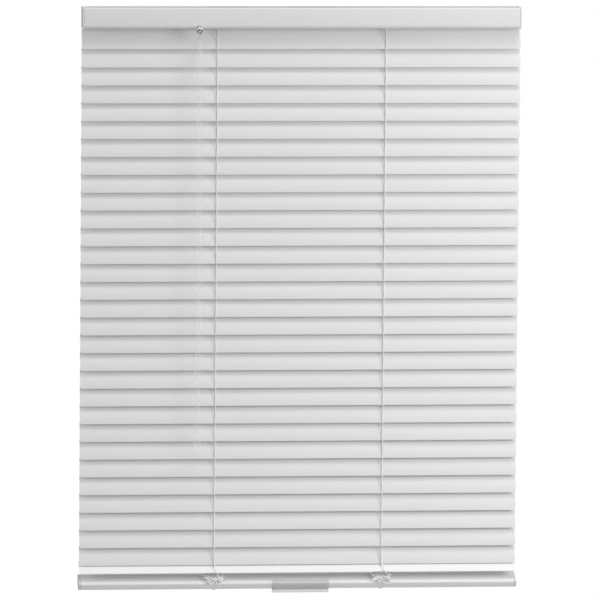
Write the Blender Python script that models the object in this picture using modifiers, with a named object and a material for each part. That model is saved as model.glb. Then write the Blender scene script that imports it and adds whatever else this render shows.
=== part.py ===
"""A one-inch venetian mini blind with a tilt wand and a spring lift, slats closed.

Units are metres, +Z is up and the front, towards the room, is -Y.
The origin is the centre of the headrail's flat back face.
A positive turn about +X brings the front edge of a slat down.
"""
import math

import bmesh
import bpy
from mathutils import Matrix, Vector

# ---- driving dimensions --------------------------------------------------------------------
CLEARANCE = 0.0003              # gap between pieces that touch

HEADRAIL_DEPTH = 0.0254
HEADRAIL_HEIGHT = 0.0254
HEADRAIL_LENGTH = 0.5243
HEADRAIL_WALL = 0.0008
HEADRAIL_LIP = 0.003
END_CAP_PLATE = 0.0016
END_CAP_PLUG = 0.006
END_CAP_CORNER = 0.0012
END_CAP_PLUG_DROP = 0.003       # the plug's top below the headrail's rim

SLAT_COUNT = 31
SLAT_LENGTH = 0.529
SLAT_WIDTH = 0.025
SLAT_THICKNESS = 0.0004
SLAT_CROWN = 0.0015
SLAT_DROP = 0.00075             # the slat's edges below the line that it turns on
SLAT_CORNER = 0.0025
SLAT_PITCH = 0.0215
FIRST_SLAT_Z = -0.0260
LAST_SLAT_Z = -0.6632
SLAT_TILT = math.radians(75)
LAST_SLAT_TILT = math.radians(30)
ROUTE_SLOT = (0.0018, 0.012)    # along the slat, across the slat: just room for the lift cord

LADDER_X = 0.1015
STRAND_RADIUS = 0.0005
STRAND_STAND_OFF = 0.001        # strand centre in front of the slat's edge
LIFT_CORD_RADIUS = 0.0006

TILT_AXIS_Y = -HEADRAIL_DEPTH / 2
ROD_Y = -0.0120                 # midway between the upright strands
ROD_Z = 0.006
ROD_RADIUS = 0.0020
ROD_LEFT = -0.150
ROD_RIGHT = 0.125
DRUM_RADIUS = 0.0034            # the strands leave it level with the slats' edges
DRUM_FLANGE = 0.0046
DRUM_WIDTH = 0.012
FLANGE_THICKNESS = 0.0012

TILTER_X = -0.1245
STEM_END = Vector((TILTER_X, -0.0302, -0.0145))
STEM_LEAN = math.radians(57.3)  # the worm's axis from upright, its upper end towards the wall
GEAR_TEETH = 10
GEAR_RADIUS = 0.005
GEAR_ROOT = 0.0041
GEAR_WIDTH = 0.008
TOOTH_FOOT = 0.3                # half a tooth's foot and tip, in shares of the tooth pitch
TOOTH_TIP = 0.14
WORM_RADIUS = 0.0021
WORM_ROOT = 0.0015
WORM_START = 0.0225             # along the worm's axis, from the stem's end
WORM_END = 0.0295
STEM_RADIUS = 0.0014
KNOB_RADIUS = 0.0037
KNOB_HALF = 0.0018
KNOB_RECESS = 0.0020
KNOB_RECESS_DEPTH = 0.0008
KNOB_CHAMFER = 0.0004
STEM_HOLE_RADIUS = 0.0024       # in the headrail's lower front corner
STEM_HOLE_DEPTH = 0.016

WAND_LENGTH = 0.496
WAND_RADIUS = 0.0030
WAND_TIP_RADIUS = 0.0045
WAND_CORNER = 0.0006
SLEEVE_WALL = 0.0007

MOTOR_X = 0.020
MOTOR_LENGTH = 0.052
MOTOR_DRUM_X = 0.031
STORAGE_DRUM_X = 0.009
FLANGE_RADIUS = 0.0093
CORD_CORE_RADIUS = 0.005

RAIL_Z = -0.682
RAIL_TILT = math.radians(23)
RAIL_LENGTH = 0.526
RAIL_WIDTH = 0.025
RAIL_TOP = 0.0045               # flat top above the rail's own axis
RAIL_BELLY = 0.0105             # depth of the rounded underside
RAIL_SHOULDER = 0.002           # height at which the underside begins
RAIL_WALL = 0.0012
RAIL_GROOVES = 5
RAIL_GROOVE_DEPTH = 0.0004
RAIL_CAP_PLATE = 0.0024

CLIP_WIDTH = 0.018
CLIP_PLATE = 0.0015
CLIP_FRONT = -0.0115            # the clip plate's edges across the rail
CLIP_BACK = 0.0105
CLIP_STEM_RADIUS = 0.0025
BUTTON_RADIUS = 0.0041
BUTTON_DEPTH = 0.0022

HANDLE_X = 0.003
HANDLE_WIDTH = 0.068
HANDLE_WALL = 0.0014
HANDLE_HOOK = 0.0045            # how far it reaches over the rail's top
HANDLE_LIP_RADIUS = 0.0021
HANDLE_LIP = (-0.0101, -0.0079)  # the finger lip's middle, across and up in the rail's section
LIP_INSET = 0.0002
THROUGH = 0.002                 # how far a cutter reaches past a surface

for old in list(bpy.data.objects):
    bpy.data.objects.remove(old, do_unlink=True)

PARTS = bpy.data.collections.new("venetian_blind")
CUTTERS = bpy.data.collections.new("cutters")
bpy.context.scene.collection.children.link(PARTS)
bpy.context.scene.collection.children.link(CUTTERS)


# ---- materials -----------------------------------------------------------------------------
def material(name, colour, roughness, metallic=0.0, alpha=1.0):
    made = bpy.data.materials.new(name)
    made.use_nodes = True
    shader = made.node_tree.nodes["Principled BSDF"]
    shader.inputs["Base Color"].default_value = (*colour, 1)
    shader.inputs["Roughness"].default_value = roughness
    shader.inputs["Metallic"].default_value = metallic
    shader.inputs["Alpha"].default_value = alpha
    return made


PAINTED_STEEL = material("white_painted_steel", (0.85, 0.85, 0.84), 0.4)
WHITE_VINYL = material("white_vinyl", (0.86, 0.86, 0.85), 0.45)
WHITE_PLASTIC = material("white_plastic", (0.8, 0.8, 0.79), 0.5)
CLEAR_PLASTIC = material("clear_plastic", (0.9, 0.93, 0.94), 0.08, alpha=0.35)
BRIGHT_STEEL = material("bright_steel", (0.55, 0.55, 0.56), 0.3, metallic=1.0)
SPRING_STEEL = material("spring_steel", (0.35, 0.36, 0.38), 0.3, metallic=1.0)
GREY_PLASTIC = material("grey_plastic", (0.35, 0.35, 0.36), 0.5)
WHITE_CORD = material("white_polyester_cord", (0.88, 0.88, 0.86), 0.8)


# ---- shapes --------------------------------------------------------------------------------
def add(name, data, look, collection=PARTS, location=(0, 0, 0), rotation=(0, 0, 0)):
    made = bpy.data.objects.new(name, data)
    collection.objects.link(made)
    made.location = location
    made.rotation_euler = rotation
    if collection is CUTTERS:
        made.hide_render = True
        made.display_type = "WIRE"
    elif look is not None and not data.materials:
        data.materials.append(look)
    return made


def boolean(target, cutter, operation="DIFFERENCE"):
    cut = target.modifiers.new(operation.title(), "BOOLEAN")
    cut.operation = operation
    cut.solver = "EXACT"
    cut.object = cutter
    return target


def mesh_of(curve_object):
    """A mesh object in place of a curve object, with its loose caps welded on."""
    bpy.context.view_layer.update()
    source = curve_object.evaluated_get(bpy.context.evaluated_depsgraph_get())
    data = bpy.data.meshes.new_from_object(source)
    form = bmesh.new()
    form.from_mesh(data)
    bmesh.ops.remove_doubles(form, verts=form.verts, dist=1e-6)
    form.to_mesh(data)
    form.free()
    name = curve_object.name
    collection = curve_object.users_collection[0]
    matrix = curve_object.matrix_world.copy()
    looks = list(curve_object.data.materials)
    bpy.data.objects.remove(curve_object, do_unlink=True)
    made = add(name, data, looks[0] if looks else None, collection)
    made.matrix_world = matrix
    return made


def plate(name, outlines, thickness, look, collection=PARTS, location=(0, 0, 0), rotation=(0, 0, 0)):
    """A flat plate of closed outlines, the first solid and any others holes in it."""
    curve = bpy.data.curves.new(name, "CURVE")
    curve.dimensions = "2D"
    curve.fill_mode = "BOTH"
    curve.extrude = thickness / 2
    for outline in outlines:
        spline = curve.splines.new("POLY")
        spline.points.add(len(outline) - 1)
        for point, (across, up) in zip(spline.points, outline):
            point.co = (across, up, 0, 1)
        spline.use_cyclic_u = True
    made = add(name, curve, look, collection, location, rotation)
    return mesh_of(made)


def prism(name, outlines, start, end, look, collection=PARTS, centre=(0, 0), turn=0.0):
    """A section in Y and Z, turned about +X, which runs along X from start to end."""
    made = plate(name, outlines, end - start, look, collection)
    run = Matrix.Rotation(turn, 4, "X") @ Matrix.Rotation(math.pi / 2, 4, "Z")
    run = run @ Matrix.Rotation(math.pi / 2, 4, "X")
    made.matrix_world = Matrix.Translation(((start + end) / 2, *centre)) @ run
    return made


def block(name, low, high, look=None, collection=PARTS):
    form = bmesh.new()
    bmesh.ops.create_cube(form, size=1)
    size = [b - a for a, b in zip(low, high)]
    bmesh.ops.scale(form, vec=size, verts=form.verts)
    data = bpy.data.meshes.new(name)
    form.to_mesh(data)
    form.free()
    middle = [(a + b) / 2 for a, b in zip(low, high)]
    return add(name, data, look, collection, middle)


def cylinder(name, radius, start, end, look=None, collection=PARTS, segments=16):
    """A cylinder between two points."""
    start = Vector(start)
    end = Vector(end)
    form = bmesh.new()
    bmesh.ops.create_cone(
        form, cap_ends=True, segments=segments,
        radius1=radius, radius2=radius, depth=(end - start).length,
    )
    data = bpy.data.meshes.new(name)
    form.to_mesh(data)
    form.free()
    turn = (end - start).to_track_quat("Z", "Y").to_euler()
    return add(name, data, look, collection, (start + end) / 2, turn)


def turned(name, profile, look, closed, segments, location, rotation=(0, 0, 0), collection=PARTS):
    """A turned piece: a profile of radius and height, swept about the piece's own Z."""
    form = bmesh.new()
    corners = [form.verts.new((radius, 0, height)) for radius, height in profile]
    pairs = list(zip(corners, corners[1:]))
    if closed:
        pairs.append((corners[-1], corners[0]))
    for pair in pairs:
        form.edges.new(pair)
    data = bpy.data.meshes.new(name)
    form.to_mesh(data)
    form.free()
    made = add(name, data, look, collection, location, rotation)
    sweep = made.modifiers.new("Turn", "SCREW")
    sweep.steps = segments
    sweep.render_steps = segments
    sweep.use_merge_vertices = True
    sweep.merge_threshold = 0.00001
    return made


def tube(name, points, radius, look, collection=PARTS):
    """A round cord or wire along points, closed at both ends."""
    curve = bpy.data.curves.new(name, "CURVE")
    curve.dimensions = "3D"
    curve.bevel_depth = radius
    curve.bevel_resolution = 2
    curve.use_fill_caps = True
    spline = curve.splines.new("POLY")
    spline.points.add(len(points) - 1)
    for point, place in zip(spline.points, points):
        point.co = (*place, 1)
    return add(name, curve, look, collection)


def arc(centre, radius, start, end, steps):
    """Points on an arc, with angles in degrees."""
    points = []
    for step in range(steps + 1):
        angle = math.radians(start + (end - start) * step / steps)
        points.append((centre[0] + radius * math.cos(angle), centre[1] + radius * math.sin(angle)))
    return points


def rounded_box(low, high, radius, steps=3):
    """A rectangle's outline with round corners."""
    (left, bottom), (right, top) = low, high
    points = arc((right - radius, top - radius), radius, 0, 90, steps)
    points += arc((left + radius, top - radius), radius, 90, 180, steps)
    points += arc((left + radius, bottom + radius), radius, 180, 270, steps)
    points += arc((right - radius, bottom + radius), radius, 270, 360, steps)
    return points


# ---- headrail ------------------------------------------------------------------------------
HALF_HEIGHT = HEADRAIL_HEIGHT / 2
FRONT_CORNER = 0.004            # the soft lower front edge
BACK_CORNER = 0.0015
LADDER_OPENING = ((-0.006, -0.0210), (0.006, -0.0044))
CORD_SLOT = ((0.124, -0.0215), (0.148, -0.0180))


def worm_point(distance):
    """A point on the worm's axis, measured up from the stem's end."""
    lean = Vector((0, math.sin(STEM_LEAN), math.cos(STEM_LEAN)))
    return STEM_END + lean * distance


def headrail_section():
    """The channel's outer line, from the back lip down, under and up to the front lip."""
    back = (-BACK_CORNER, -HALF_HEIGHT + BACK_CORNER)
    front = (-HEADRAIL_DEPTH + FRONT_CORNER, -HALF_HEIGHT + FRONT_CORNER)
    section = [(-HEADRAIL_LIP, HALF_HEIGHT), (0, HALF_HEIGHT)]
    section += arc(back, BACK_CORNER, 0, -90, 3)
    section += arc(front, FRONT_CORNER, -90, -180, 5)
    section += [(-HEADRAIL_DEPTH, HALF_HEIGHT), (-HEADRAIL_DEPTH + HEADRAIL_LIP, HALF_HEIGHT)]
    return section


def make_headrail():
    form = bmesh.new()
    line = [form.verts.new((-HEADRAIL_LENGTH / 2, y, z)) for y, z in headrail_section()]
    edges = [form.edges.new(pair) for pair in zip(line, line[1:])]
    swept = bmesh.ops.extrude_edge_only(form, edges=edges)["geom"]
    ends = [item for item in swept if isinstance(item, bmesh.types.BMVert)]
    bmesh.ops.translate(form, vec=(HEADRAIL_LENGTH, 0, 0), verts=ends)
    bmesh.ops.recalc_face_normals(form, faces=form.faces)
    middle = Vector((0, TILT_AXIS_Y, 0))
    if sum((f.calc_center_median() - middle).dot(f.normal) for f in form.faces) < 0:
        bmesh.ops.reverse_faces(form, faces=form.faces)
    data = bpy.data.meshes.new("headrail")
    form.to_mesh(data)
    form.free()
    headrail = add("headrail", data, PAINTED_STEEL)
    wall = headrail.modifiers.new("Wall", "SOLIDIFY")
    wall.thickness = HEADRAIL_WALL
    wall.offset = -1
    wall.use_even_offset = True
    floor_z = -HALF_HEIGHT
    for side in (-1, 1):
        (left, front), (right, back) = LADDER_OPENING
        low = (side * LADDER_X + left, front, floor_z - THROUGH)
        high = (side * LADDER_X + right, back, floor_z + THROUGH)
        boolean(headrail, block(f"ladder_opening_{side}", low, high, None, CUTTERS))
    low = (*CORD_SLOT[0], floor_z - THROUGH)
    high = (*CORD_SLOT[1], floor_z + THROUGH)
    boolean(headrail, block("cord_slot", low, high, None, CUTTERS))
    far = worm_point(STEM_HOLE_DEPTH)
    bore = cylinder("stem_opening", STEM_HOLE_RADIUS, worm_point(0), far, None, CUTTERS)
    boolean(headrail, bore)


def make_headrail_cap(name, side):
    face = side * HEADRAIL_LENGTH / 2
    outer = face + side * (CLEARANCE + END_CAP_PLATE)
    inner = face + side * CLEARANCE
    outline = rounded_box((-HEADRAIL_DEPTH, -HALF_HEIGHT), (0, HALF_HEIGHT), END_CAP_CORNER)
    cap = prism(name, [outline], min(inner, outer), max(inner, outer), WHITE_PLASTIC)
    inset = HEADRAIL_WALL + CLEARANCE
    low = [face - side * END_CAP_PLUG, -HEADRAIL_DEPTH + FRONT_CORNER, -HALF_HEIGHT + inset]
    high = [inner + side * END_CAP_PLATE / 2, -inset - BACK_CORNER, HALF_HEIGHT - END_CAP_PLUG_DROP]
    low[0], high[0] = min(low[0], high[0]), max(low[0], high[0])
    boolean(cap, block(f"{name}_plug", low, high, None, CUTTERS), "UNION")


# ---- tilt mechanism ------------------------------------------------------------------------
def make_tilt_rod():
    start = (ROD_LEFT, ROD_Y, ROD_Z)
    end = (ROD_RIGHT, ROD_Y, ROD_Z)
    cylinder("tilt_rod", ROD_RADIUS, start, end, BRIGHT_STEEL, segments=6)


def make_gear():
    outline = []
    for tooth in range(GEAR_TEETH):
        sides = (-TOOTH_FOOT, GEAR_ROOT), (-TOOTH_TIP, GEAR_RADIUS), (TOOTH_TIP, GEAR_RADIUS), (TOOTH_FOOT, GEAR_ROOT)
        for share, radius in sides:
            angle = 2 * math.pi * (tooth + share) / GEAR_TEETH
            outline.append((radius * math.cos(angle), radius * math.sin(angle)))
    bore = arc((0, 0), ROD_RADIUS + CLEARANCE, 0, 330, 11)
    start = TILTER_X - GEAR_WIDTH / 2
    prism("tilt_gear", [outline, bore], start, start + GEAR_WIDTH, GREY_PLASTIC, centre=(ROD_Y, ROD_Z))


def make_worm():
    """The worm, its stem and the knob that the wand hangs from, in one piece."""
    rings = 21
    around = 12
    lead = 2 * math.pi * GEAR_RADIUS / GEAR_TEETH
    length = WORM_END - WORM_START
    form = bmesh.new()
    bmesh.ops.create_grid(form, x_segments=around, y_segments=rings - 1, size=0.5)
    for vert in form.verts:
        angle = 2 * math.pi * (vert.co.x + 0.5)
        along = (vert.co.y + 0.5) * length
        wave = 0.5 + 0.5 * math.cos(2 * math.pi * along / lead - angle)
        fade = min(1.0, 4 * along / length, 4 * (length - along) / length)
        radius = WORM_ROOT + (WORM_RADIUS - WORM_ROOT) * wave * fade
        vert.co = (radius * math.cos(angle), radius * math.sin(angle), WORM_START + along)
    bmesh.ops.remove_doubles(form, verts=form.verts, dist=1e-6)
    bmesh.ops.holes_fill(form, edges=[e for e in form.edges if e.is_boundary], sides=around)
    bmesh.ops.recalc_face_normals(form, faces=form.faces)
    data = bpy.data.meshes.new("tilt_worm")
    form.to_mesh(data)
    form.free()
    turn = (-STEM_LEAN, 0, 0)
    worm = add("tilt_worm", data, BRIGHT_STEEL, PARTS, STEM_END, turn)
    top = WORM_START + 0.001
    rim = KNOB_RADIUS - KNOB_CHAMFER
    face = KNOB_HALF - KNOB_CHAMFER
    recess = -KNOB_HALF + KNOB_RECESS_DEPTH
    profile = [(0, top), (STEM_RADIUS, top), (STEM_RADIUS, KNOB_HALF + 2 * KNOB_CHAMFER), (rim, KNOB_HALF)]
    profile += [(KNOB_RADIUS, face), (KNOB_RADIUS, -face), (rim, -KNOB_HALF)]
    profile += [(KNOB_RECESS, -KNOB_HALF), (KNOB_RECESS, recess), (0, recess)]
    stem = turned("worm_stem", profile, None, False, 16, STEM_END, turn, CUTTERS)
    boolean(worm, stem, "UNION")


HOUSING_BOX = ((-0.0242, -0.0115), (-0.0020, 0.0110))
HOUSING_HALF = 0.009
HOUSING_CORNER = 0.003
RUNNING_ROOM = 0.0006           # round pieces that turn inside a housing


def make_tilter_housing():
    outline = rounded_box(*HOUSING_BOX, HOUSING_CORNER)
    span = (TILTER_X - HOUSING_HALF, TILTER_X + HOUSING_HALF)
    housing = prism("tilter_housing", [outline], *span, WHITE_PLASTIC)
    ends = [(x + side * THROUGH, ROD_Y, ROD_Z) for side, x in zip((-1, 1), span)]
    rod_bore = cylinder("rod_bore", ROD_RADIUS + RUNNING_ROOM, *ends, None, CUTTERS)
    reach = GEAR_WIDTH / 2 + RUNNING_ROOM
    ends = [(TILTER_X + side * reach, ROD_Y, ROD_Z) for side in (-1, 1)]
    gear_room = cylinder("gear_room", GEAR_RADIUS + RUNNING_ROOM, *ends, None, CUTTERS, 20)
    ends = worm_point(0), worm_point(WORM_END + RUNNING_ROOM)
    worm_room = cylinder("worm_room", WORM_RADIUS + RUNNING_ROOM, *ends, None, CUTTERS, 16)
    for cutter in (rod_bore, gear_room, worm_room):
        boolean(housing, cutter)


def make_drum(name, side):
    """A ladder drum: a core with a flange at each end, on the tilt rod."""
    flange = DRUM_FLANGE
    half = DRUM_WIDTH / 2
    inner = half - FLANGE_THICKNESS
    bore = ROD_RADIUS + CLEARANCE
    profile = [(bore, half), (flange, half), (flange, inner), (DRUM_RADIUS, inner)]
    profile += [(DRUM_RADIUS, -inner), (flange, -inner), (flange, -half), (bore, -half)]
    place = (side * LADDER_X, ROD_Y, ROD_Z)
    turned(name, profile, WHITE_PLASTIC, True, 20, place, (0, math.pi / 2, 0))


CRADLE_BASE = ((-0.011, -0.0213), (0.011, -0.0018))     # low and high corners in X and Y
CRADLE_SHEET = 0.0012
CHEEK_SPAN = (0.0075, 0.0095)                           # on either side of the drum
CHEEK_DEPTH = (-0.0195, -0.0059)
CHEEK_RISE = 0.0036                                     # above the rod's axis
COLLAR = ((-0.0057, -0.0207), (0.0057, -0.0047))
COLLAR_DROP = 0.0008                                    # below the headrail's floor
THROAT = ((-0.0045, -0.0200), (0.0045, -0.0054))
CORD_NOTCH_HALF = 0.0018
CORD_NOTCH_HEIGHTS = (-0.004, 0.0005)


def corners(rectangle, x, low_z, high_z):
    """The low and high corners of a block over a rectangle whose X is measured from x."""
    (left, front), (right, back) = rectangle
    return (x + left, front, low_z), (x + right, back, high_z)


def make_cradle(name, side):
    """The saddle under a ladder drum, with a collar that shows under the headrail."""
    x = side * LADDER_X
    floor_low = -HALF_HEIGHT + HEADRAIL_WALL + CLEARANCE
    middle = floor_low + CRADLE_SHEET / 2
    cradle = block(name, *corners(CRADLE_BASE, x, floor_low, floor_low + CRADLE_SHEET), WHITE_PLASTIC)
    for end in (-1, 1):
        inner, outer = sorted(end * reach for reach in CHEEK_SPAN)
        cheek = ((inner, CHEEK_DEPTH[0]), (outer, CHEEK_DEPTH[1]))
        shape = corners(cheek, x, middle, ROD_Z + CHEEK_RISE)
        boolean(cradle, block(f"{name}_cheek_{end}", *shape, None, CUTTERS), "UNION")
    shape = corners(COLLAR, x, -HALF_HEIGHT - COLLAR_DROP, middle)
    boolean(cradle, block(f"{name}_collar", *shape, None, CUTTERS), "UNION")
    shape = corners(THROAT, x, -HALF_HEIGHT - COLLAR_DROP - THROUGH, middle + THROUGH)
    boolean(cradle, block(f"{name}_throat", *shape, None, CUTTERS))
    reach = 2 * CHEEK_SPAN[1]
    ends = (x - reach, ROD_Y, ROD_Z), (x + reach, ROD_Y, ROD_Z)
    boolean(cradle, cylinder(f"{name}_rod_bore", ROD_RADIUS + RUNNING_ROOM, *ends, None, CUTTERS))
    inner, outer = sorted((0, -side * reach))
    notch = ((inner, TILT_AXIS_Y - CORD_NOTCH_HALF), (outer, TILT_AXIS_Y + CORD_NOTCH_HALF))
    shape = corners(notch, x, *CORD_NOTCH_HEIGHTS)
    boolean(cradle, block(f"{name}_cord_notch", *shape, None, CUTTERS))


# ---- wand ----------------------------------------------------------------------------------
SLEEVE_TOP = 0.0                # level with the knob's centre
SLEEVE_FLOOR = -0.0050
SLEEVE_FOOT = -0.0115
WAND_TOP = SLEEVE_FLOOR - 0.0013


def make_wand_sleeve():
    """The clear cup round the knob, with a skirt that the wand's head sits in."""
    bore = math.hypot(KNOB_RADIUS, KNOB_HALF) + CLEARANCE
    skirt = WAND_RADIUS + CLEARANCE
    web = WAND_TOP + CLEARANCE
    fillet = 0.0012
    taper = 0.001
    profile = [(0, SLEEVE_FLOOR), (bore - fillet, SLEEVE_FLOOR), (bore, SLEEVE_FLOOR + fillet)]
    profile += [(bore, SLEEVE_TOP), (bore + SLEEVE_WALL, SLEEVE_TOP), (bore + SLEEVE_WALL, SLEEVE_FLOOR + taper)]
    profile += [(skirt + SLEEVE_WALL, SLEEVE_FLOOR - taper), (skirt + SLEEVE_WALL, SLEEVE_FOOT)]
    profile += [(skirt, SLEEVE_FOOT), (skirt, web), (0, web)]
    turned("wand_sleeve", profile, CLEAR_PLASTIC, False, 20, STEM_END)


def make_wand():
    """A long clear rod with a swollen, rounded tip."""
    tip = WAND_TOP - WAND_LENGTH
    swell = WAND_TIP_RADIUS - WAND_RADIUS
    profile = [(0, WAND_TOP), (WAND_RADIUS - WAND_CORNER, WAND_TOP), (WAND_RADIUS, WAND_TOP - WAND_CORNER)]
    profile += [(WAND_RADIUS, tip + 0.026), (WAND_RADIUS + 0.6 * swell, tip + 0.018)]
    profile += [(WAND_TIP_RADIUS, tip + 0.010)]
    profile += arc((0, tip + WAND_TIP_RADIUS), WAND_TIP_RADIUS, 0, -90, 4)[:-1] + [(0, tip)]
    turned("wand", profile, CLEAR_PLASTIC, False, 16, STEM_END)


# ---- lift motor ----------------------------------------------------------------------------
MOTOR_FLOOR = -0.0116
MOTOR_BOX = ((-0.0238, MOTOR_FLOOR), (-0.0018, 0.0080))
MOTOR_CORNER = 0.003
TRAY_TOP = 0.0026
TRAY_WALL = 0.0012
CORD_GATE = (-0.0200, -0.0054)      # the opening in the tray's ends, across
GATE_FLOOR = -0.003
POST_RADIUS = 0.0014
POST_TOPS = {"motor": 0.0018, "storage": -0.0034}
DRUM_BORE = 0.0018
DRUM_BASE = -0.0103
DRUM_PLATE = 0.0010                 # thickness of the drums' plates
CORD_SPOOL = (-0.0026, 0.0012)      # where the lift cords wind
STORAGE_TOP = -0.0032
STORAGE_CORE = 0.0045
SPRING_Z = -0.0064
SPRING_HEIGHT = 0.005
SPRING_COIL = (STORAGE_DRUM_X, 0.0080, 0.0048)      # centre, outer and inner radius
SPRING_END = (MOTOR_DRUM_X, 0.0062, 0.0053)
SPRING_STRIP = 0.0005


def make_motor_housing():
    """An open tray with two axle posts, under the tilt rod."""
    half = MOTOR_LENGTH / 2
    outline = rounded_box(*MOTOR_BOX, MOTOR_CORNER)
    tray = prism("motor_housing", [outline], MOTOR_X - half, MOTOR_X + half, GREY_PLASTIC)
    (front, _), (back, top) = MOTOR_BOX
    reach = half + THROUGH
    shape = corners(((-reach, front - THROUGH), (reach, back + THROUGH)), MOTOR_X, TRAY_TOP, top + THROUGH)
    boolean(tray, block("tray_top", *shape, None, CUTTERS))
    room = half - TRAY_WALL
    inside = ((-room, front + TRAY_WALL), (room, back - TRAY_WALL))
    shape = corners(inside, MOTOR_X, MOTOR_FLOOR + TRAY_WALL, top)
    boolean(tray, block("tray_room", *shape, None, CUTTERS))
    shape = corners(((-reach, CORD_GATE[0]), (reach, CORD_GATE[1])), MOTOR_X, GATE_FLOOR, top)
    boolean(tray, block("tray_cord_gate", *shape, None, CUTTERS))
    for name, x in (("motor", MOTOR_DRUM_X), ("storage", STORAGE_DRUM_X)):
        ends = (x, TILT_AXIS_Y, MOTOR_FLOOR + TRAY_WALL / 2), (x, TILT_AXIS_Y, POST_TOPS[name])
        post = cylinder(f"{name}_post", POST_RADIUS, *ends, None, CUTTERS, 12)
        boolean(tray, post, "UNION")


def make_motor_drum():
    """The output drum: the spring winds on its lower part, the lift cords on its upper part."""
    low, high = CORD_SPOOL
    rim = FLANGE_RADIUS
    core = CORD_CORE_RADIUS
    plate_low = low - DRUM_PLATE
    profile = [(DRUM_BORE, high + DRUM_PLATE), (rim, high + DRUM_PLATE), (rim, high), (core, high)]
    profile += [(core, low), (rim, low), (rim, plate_low), (core, plate_low)]
    profile += [(core, DRUM_BASE + DRUM_PLATE), (rim, DRUM_BASE + DRUM_PLATE), (rim, DRUM_BASE)]
    profile += [(DRUM_BORE, DRUM_BASE)]
    turned("motor_drum", profile, GREY_PLASTIC, True, 24, (MOTOR_DRUM_X, TILT_AXIS_Y, 0))


def make_storage_drum():
    plate_top = DRUM_BASE + DRUM_PLATE
    profile = [(DRUM_BORE, STORAGE_TOP), (STORAGE_CORE, STORAGE_TOP), (STORAGE_CORE, plate_top)]
    profile += [(FLANGE_RADIUS, plate_top), (FLANGE_RADIUS, DRUM_BASE), (DRUM_BORE, DRUM_BASE)]
    turned("storage_drum", profile, GREY_PLASTIC, True, 24, (STORAGE_DRUM_X, TILT_AXIS_Y, 0))


def make_motor_spring():
    """A flat spring: most of it coiled on the storage drum, its end on the output drum."""
    rings = []
    for x, outer, inner in (SPRING_COIL, SPRING_END):
        name, home = ("spring_end", CUTTERS) if rings else ("motor_spring", PARTS)
        outlines = [arc((x, 0), radius, 0, 345, 23) for radius in (outer, inner)]
        rings.append(plate(name, outlines, SPRING_HEIGHT, SPRING_STEEL, home, (0, TILT_AXIS_Y, SPRING_Z)))
    spring, end = rings
    boolean(spring, end, "UNION")
    lean = Vector((SPRING_END[0] - SPRING_COIL[0], SPRING_END[1] - SPRING_COIL[1], 0))
    size = (lean.length, SPRING_STRIP, SPRING_HEIGHT)
    bridge = block("spring_bridge", (0, 0, 0), size, None, CUTTERS)
    bridge.data.transform(Matrix.Translation(bridge.location))
    across = TILT_AXIS_Y + SPRING_COIL[1] - SPRING_STRIP
    bridge.location = (SPRING_COIL[0], across, SPRING_Z - SPRING_HEIGHT / 2)
    bridge.rotation_euler = (0, 0, math.atan2(lean.y, lean.x))
    boolean(spring, bridge, "UNION")


CORD_RUN_Z = -0.0014                # the lift cords' height inside the headrail
CORD_BEND = 0.003
CORD_GUIDE = 0.022                  # where a cord lines up with its ladder, short of it
CORD_END = RAIL_Z + 0.0082


def make_lift_cord(name, side):
    """From the output drum along the headrail, over the cradle, then down through the slats."""
    x = side * LADDER_X
    tangent = TILT_AXIS_Y + side * (CORD_CORE_RADIUS + LIFT_CORD_RADIUS + CLEARANCE)
    bend = CORD_BEND
    points = [(MOTOR_DRUM_X, tangent, CORD_RUN_Z), (x - side * CORD_GUIDE, TILT_AXIS_Y, CORD_RUN_Z)]
    for step in range(5):
        angle = math.radians(90 * step / 4)
        reach = x - side * bend * (1 - math.sin(angle))
        points.append((reach, TILT_AXIS_Y, CORD_RUN_Z - bend * (1 - math.cos(angle))))
    points += [(x, TILT_AXIS_Y, -0.2), (x, TILT_AXIS_Y, -0.45), (x, TILT_AXIS_Y, CORD_END)]
    tube(name, points, LIFT_CORD_RADIUS, WHITE_CORD)


# ---- slats ---------------------------------------------------------------------------------
SLAT_STRIPS = 6
SHEET_MARGIN = 0.002                # the sheet before it is trimmed to the slat's outline


def slat_mesh():
    """One crowned slat, level, with its centre at the origin and its hollow side down."""
    half = SLAT_WIDTH / 2
    form = bmesh.new()
    bmesh.ops.create_grid(form, x_segments=1, y_segments=SLAT_STRIPS, size=0.5)
    for vert in form.verts:
        across = vert.co.y * (SLAT_WIDTH + SHEET_MARGIN)
        crown = SLAT_CROWN * (1 - (across / half) ** 2)
        vert.co = (vert.co.x * (SLAT_LENGTH + SHEET_MARGIN), across, crown - SLAT_DROP)
    data = bpy.data.meshes.new("slat_sheet")
    form.to_mesh(data)
    form.free()
    sheet = add("slat_sheet", data, WHITE_VINYL, CUTTERS)
    wall = sheet.modifiers.new("Wall", "SOLIDIFY")
    wall.thickness = SLAT_THICKNESS
    wall.offset = 0
    outlines = [rounded_box((-SLAT_LENGTH / 2, -half), (SLAT_LENGTH / 2, half), SLAT_CORNER, 3)]
    slot_x, slot_y = ROUTE_SLOT
    for side in (-1, 1):
        x = side * LADDER_X
        low = (x - slot_x / 2, -slot_y / 2)
        high = (x + slot_x / 2, slot_y / 2)
        outlines.append(rounded_box(low, high, slot_x * 0.45, 1))
    trim = plate("slat_trim", outlines, 0.02, None, CUTTERS)
    boolean(sheet, trim, "INTERSECT")
    bpy.context.view_layer.update()
    ready = sheet.evaluated_get(bpy.context.evaluated_depsgraph_get())
    slat = bpy.data.meshes.new_from_object(ready)
    slat.name = "slat"
    bpy.data.objects.remove(sheet, do_unlink=True)
    bpy.data.objects.remove(trim, do_unlink=True)
    return slat


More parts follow.
